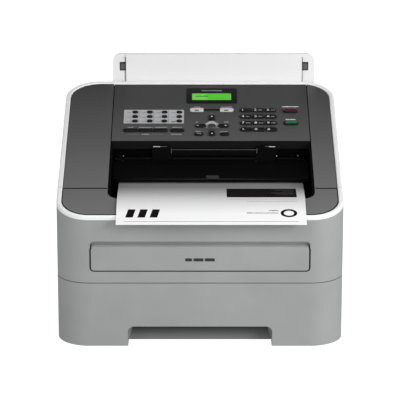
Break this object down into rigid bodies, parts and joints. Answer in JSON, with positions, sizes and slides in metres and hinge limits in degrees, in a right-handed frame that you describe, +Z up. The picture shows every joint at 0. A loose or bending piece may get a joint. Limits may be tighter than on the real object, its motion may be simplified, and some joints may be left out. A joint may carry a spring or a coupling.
{
  "type": "laser fax machine",
  "caption": "Desktop laser fax machine with a tilting control panel, document support, output bin, opening front cover and a sliding paper tray.",
  "frame": {"origin": "centre of the object's box at the surface it stands on", "axes": "+X to the machine's right as seen from the front, +Y to its rear, +Z up"},
  "size_m": [0.369, 0.39, 0.2985],
  "materials": {
    "grey_casing": "fine-grained satin",
    "dark_top": "fine-grained satin",
    "black_plastic": "satin",
    "white_trim": "semi-gloss",
    "white_support": "fine-grained satin",
    "key_black": "gloss",
    "key_grey": "gloss",
    "key_red": "gloss with a dark red lens",
    "key_green": "gloss with a green lens",
    "silver_paint": "metallic satin",
    "display_black": "gloss",
    "display_green": "lit display",
    "paper_white": "matte",
    "frame_steel": "galvanised",
    "rubber_black": "matte",
    "roller_rubber": "matte",
    "board_green": "printed circuit board",
    "toner_black": "satin"
  },
  "bodies": {
    "chassis": {"left_side_cover": "grey_casing", "main_board": "board_green", "main_frame": "frame_steel", "output_bin": "black_plastic", "power_supply": "board_green", "rear_panel": "grey_casing", "rear_rim": "white_trim", "rear_sockets": "black_plastic", "right_side_cover": "grey_casing", "rubber_feet": "rubber_black", "scanner_base": "black_plastic", "toner_cartridge": "toner_black", "top_cover": "dark_top"},
    "front_cover": {"front_cover": "grey_casing", "front_cover_top": "dark_top", "front_rim": "white_trim"},
    "manual_feed_cover": {"manual_feed_cover": "grey_casing"},
    "paper_tray": {"paper_tray": "grey_casing"},
    "tray_lift_plate": {"tray_lift_plate": "frame_steel"},
    "control_panel": {"control_panel": "dark_top", "display_bezel": "display_black", "display_glass": "display_green", "silver_plates": "silver_paint"},
    "document_output_flap": {"document_output_flap": "black_plastic"},
    "document_support": {"document_support": "white_support"},
    "support_extension": {"support_extension": "white_support"},
    "rear_cover": {"rear_cover": "grey_casing"},
    "printed_page": {"printed_page": "paper_white"},
    "eject_roller": {"eject_roller": "roller_rubber"},
    "fuser_roller": {"fuser_roller": "roller_rubber"},
    "pickup_roller": {"pickup_roller": "roller_rubber"},
    "document_feed_roller": {"document_feed_roller": "roller_rubber"},
    "key_1": {"key_1": "key_black"},
    "key_2": {"key_2": "key_black"},
    "key_3": {"key_3": "key_black"},
    "key_4": {"key_4": "key_black"},
    "key_5": {"key_5": "key_black"},
    "key_6": {"key_6": "key_black"},
    "key_7": {"key_7": "key_black"},
    "key_8": {"key_8": "key_black"},
    "key_9": {"key_9": "key_black"},
    "key_star": {"key_star": "key_black"},
    "key_0": {"key_0": "key_black"},
    "key_hash": {"key_hash": "key_black"},
    "hook_key": {"hook_key": "key_black"},
    "redial_key": {"redial_key": "key_black"},
    "resolution_key": {"resolution_key": "key_black"},
    "options_key": {"options_key": "key_black"},
    "fax_mode_key": {"fax_mode_key": "key_grey"},
    "copy_mode_key": {"copy_mode_key": "key_grey"},
    "up_key": {"up_key": "key_black"},
    "down_key": {"down_key": "key_black"},
    "left_key": {"left_key": "key_black"},
    "right_key": {"right_key": "key_black"},
    "ok_key": {"ok_key": "key_black"},
    "search_key": {"search_key": "key_black"},
    "menu_key": {"menu_key": "key_black"},
    "stop_key": {"stop_key": "key_red"},
    "start_key": {"start_key": "key_green"},
    "one_touch_keys": {"one_touch_keys": "key_black"}
  },
  "joints": [
    {"name": "front_cover_hinge", "type": "hinge", "parent": "chassis", "child": "front_cover", "pos_m": [0, -0.1675, 0.123], "axis": [1, 0, 0], "range_deg": [0, 80], "deforming": ["printed_page"]},
    {"name": "manual_feed_cover_hinge", "type": "hinge", "parent": "front_cover", "child": "manual_feed_cover", "pos_m": [0, -0.1733, 0.1086], "axis": [1, 0, 0], "range_deg": [0, 85]},
    {"name": "paper_tray_slide", "type": "slide", "parent": "chassis", "child": "paper_tray", "axis": [0, -1, 0], "range_m": [0, 0.25]},
    {"name": "control_panel_hinge", "type": "hinge", "parent": "chassis", "child": "control_panel", "pos_m": [0, 0.172, 0.25572], "axis": [-1, 0, 0], "range_deg": [0, 30]},
    {"name": "document_output_flap_hinge", "type": "hinge", "parent": "chassis", "child": "document_output_flap", "pos_m": [0, 0.0093, 0.199], "axis": [-1, 0, 0], "range_deg": [0, 65]},
    {"name": "document_support_hinge", "type": "hinge", "parent": "chassis", "child": "document_support", "pos_m": [0, 0.189, 0.236], "axis": [-1, 0, 0], "range_deg": [0, 60]},
    {"name": "support_extension_slide", "type": "slide", "parent": "document_support", "child": "support_extension", "axis": [0, 0, 1], "range_m": [0, 0.03]},
    {"name": "rear_cover_hinge", "type": "hinge", "parent": "chassis", "child": "rear_cover", "pos_m": [0, 0.18, 0.112], "axis": [-1, 0, 0], "range_deg": [0, 80]},
    {"name": "printed_page_slide", "type": "slide", "parent": "chassis", "child": "printed_page", "axis": [0, -0.9985, 0.0549], "range_m": [0, 0.045]},
    {"name": "tray_lift_plate_hinge", "type": "hinge", "parent": "paper_tray", "child": "tray_lift_plate", "pos_m": [0, 0.143, 0.012], "axis": [-1, 0, 0], "range_deg": [0, 5]},
    {"name": "eject_roller_spin", "type": "hinge", "parent": "chassis", "child": "eject_roller", "pos_m": [0, 0.08, 0.178], "axis": [1, 0, 0], "continuous": true},
    {"name": "fuser_roller_spin", "type": "hinge", "parent": "chassis", "child": "fuser_roller", "pos_m": [0, 0.11, 0.122], "axis": [1, 0, 0], "continuous": true},
    {"name": "pickup_roller_spin", "type": "hinge", "parent": "chassis", "child": "pickup_roller", "pos_m": [0, -0.075, 0.081], "axis": [1, 0, 0], "continuous": true},
    {"name": "document_feed_roller_spin", "type": "hinge", "parent": "chassis", "child": "document_feed_roller", "pos_m": [0, 0.125, 0.22776], "axis": [1, 0, 0], "continuous": true},
    {"name": "key_1_press", "type": "slide", "parent": "control_panel", "child": "key_1", "axis": [0, 0.2271, -0.9739], "range_m": [0, 0.001], "stiffness_N_per_m": 150},
    {"name": "key_2_press", "type": "slide", "parent": "control_panel", "child": "key_2", "axis": [0, 0.2271, -0.9739], "range_m": [0, 0.001], "stiffness_N_per_m": 150},
    {"name": "key_3_press", "type": "slide", "parent": "control_panel", "child": "key_3", "axis": [0, 0.2271, -0.9739], "range_m": [0, 0.001], "stiffness_N_per_m": 150},
    {"name": "key_4_press", "type": "slide", "parent": "control_panel", "child": "key_4", "axis": [0, 0.2271, -0.9739], "range_m": [0, 0.001], "stiffness_N_per_m": 150},
    {"name": "key_5_press", "type": "slide", "parent": "control_panel", "child": "key_5", "axis": [0, 0.2271, -0.9739], "range_m": [0, 0.001], "stiffness_N_per_m": 150},
    {"name": "key_6_press", "type": "slide", "parent": "control_panel", "child": "key_6", "axis": [0, 0.2271, -0.9739], "range_m": [0, 0.001], "stiffness_N_per_m": 150},
    {"name": "key_7_press", "type": "slide", "parent": "control_panel", "child": "key_7", "axis": [0, 0.2271, -0.9739], "range_m": [0, 0.001], "stiffness_N_per_m": 150},
    {"name": "key_8_press", "type": "slide", "parent": "control_panel", "child": "key_8", "axis": [0, 0.2271, -0.9739], "range_m": [0, 0.001], "stiffness_N_per_m": 150},
    {"name": "key_9_press", "type": "slide", "parent": "control_panel", "child": "key_9", "axis": [0, 0.2271, -0.9739], "range_m": [0, 0.001], "stiffness_N_per_m": 150},
    {"name": "key_star_press", "type": "slide", "parent": "control_panel", "child": "key_star", "axis": [0, 0.2271, -0.9739], "range_m": [0, 0.001], "stiffness_N_per_m": 150},
    {"name": "key_0_press", "type": "slide", "parent": "control_panel", "child": "key_0", "axis": [0, 0.2271, -0.9739], "range_m": [0, 0.001], "stiffness_N_per_m": 150},
    {"name": "key_hash_press", "type": "slide", "parent": "control_panel", "child": "key_hash", "axis": [0, 0.2271, -0.9739], "range_m": [0, 0.001], "stiffness_N_per_m": 150},
    {"name": "hook_key_press", "type": "slide", "parent": "control_panel", "child": "hook_key", "axis": [0, 0.2271, -0.9739], "range_m": [0, 0.001], "stiffness_N_per_m": 150},
    {"name": "redial_key_press", "type": "slide", "parent": "control_panel", "child": "redial_key", "axis": [0, 0.2271, -0.9739], "range_m": [0, 0.001], "stiffness_N_per_m": 150},
    {"name": "resolution_key_press", "type": "slide", "parent": "control_panel", "child": "resolution_key", "axis": [0, 0.2271, -0.9739], "range_m": [0, 0.001], "stiffness_N_per_m": 150},
    {"name": "options_key_press", "type": "slide", "parent": "control_panel", "child": "options_key", "axis": [0, 0.2271, -0.9739], "range_m": [0, 0.001], "stiffness_N_per_m": 150},
    {"name": "fax_mode_key_press", "type": "slide", "parent": "control_panel", "child": "fax_mode_key", "axis": [0, 0.2271, -0.9739], "range_m": [0, 0.001], "stiffness_N_per_m": 150},
    {"name": "copy_mode_key_press", "type": "slide", "parent": "control_panel", "child": "copy_mode_key", "axis": [0, 0.2271, -0.9739], "range_m": [0, 0.001], "stiffness_N_per_m": 150},
    {"name": "up_key_press", "type": "slide", "parent": "control_panel", "child": "up_key", "axis": [0, 0.2271, -0.9739], "range_m": [0, 0.001], "stiffness_N_per_m": 150},
    {"name": "down_key_press", "type": "slide", "parent": "control_panel", "child": "down_key", "axis": [0, 0.2271, -0.9739], "range_m": [0, 0.001], "stiffness_N_per_m": 150},
    {"name": "left_key_press", "type": "slide", "parent": "control_panel", "child": "left_key", "axis": [0, 0.2271, -0.9739], "range_m": [0, 0.001], "stiffness_N_per_m": 150},
    {"name": "right_key_press", "type": "slide", "parent": "control_panel", "child": "right_key", "axis": [0, 0.2271, -0.9739], "range_m": [0, 0.001], "stiffness_N_per_m": 150},
    {"name": "ok_key_press", "type": "slide", "parent": "control_panel", "child": "ok_key", "axis": [0, 0.2271, -0.9739], "range_m": [0, 0.001], "stiffness_N_per_m": 150},
    {"name": "search_key_press", "type": "slide", "parent": "control_panel", "child": "search_key", "axis": [0, 0.2271, -0.9739], "range_m": [0, 0.001], "stiffness_N_per_m": 150},
    {"name": "menu_key_press", "type": "slide", "parent": "control_panel", "child": "menu_key", "axis": [0, 0.2271, -0.9739], "range_m": [0, 0.001], "stiffness_N_per_m": 150},
    {"name": "stop_key_press", "type": "slide", "parent": "control_panel", "child": "stop_key", "axis": [0, 0.2271, -0.9739], "range_m": [0, 0.001], "stiffness_N_per_m": 150},
    {"name": "start_key_press", "type": "slide", "parent": "control_panel", "child": "start_key", "axis": [0, 0.2271, -0.9739], "range_m": [0, 0.001], "stiffness_N_per_m": 150},
    {"name": "one_touch_keys_press", "type": "slide", "parent": "control_panel", "child": "one_touch_keys", "axis": [0, 0.2271, -0.9739], "range_m": [0, 0.001], "stiffness_N_per_m": 150}
  ]
}
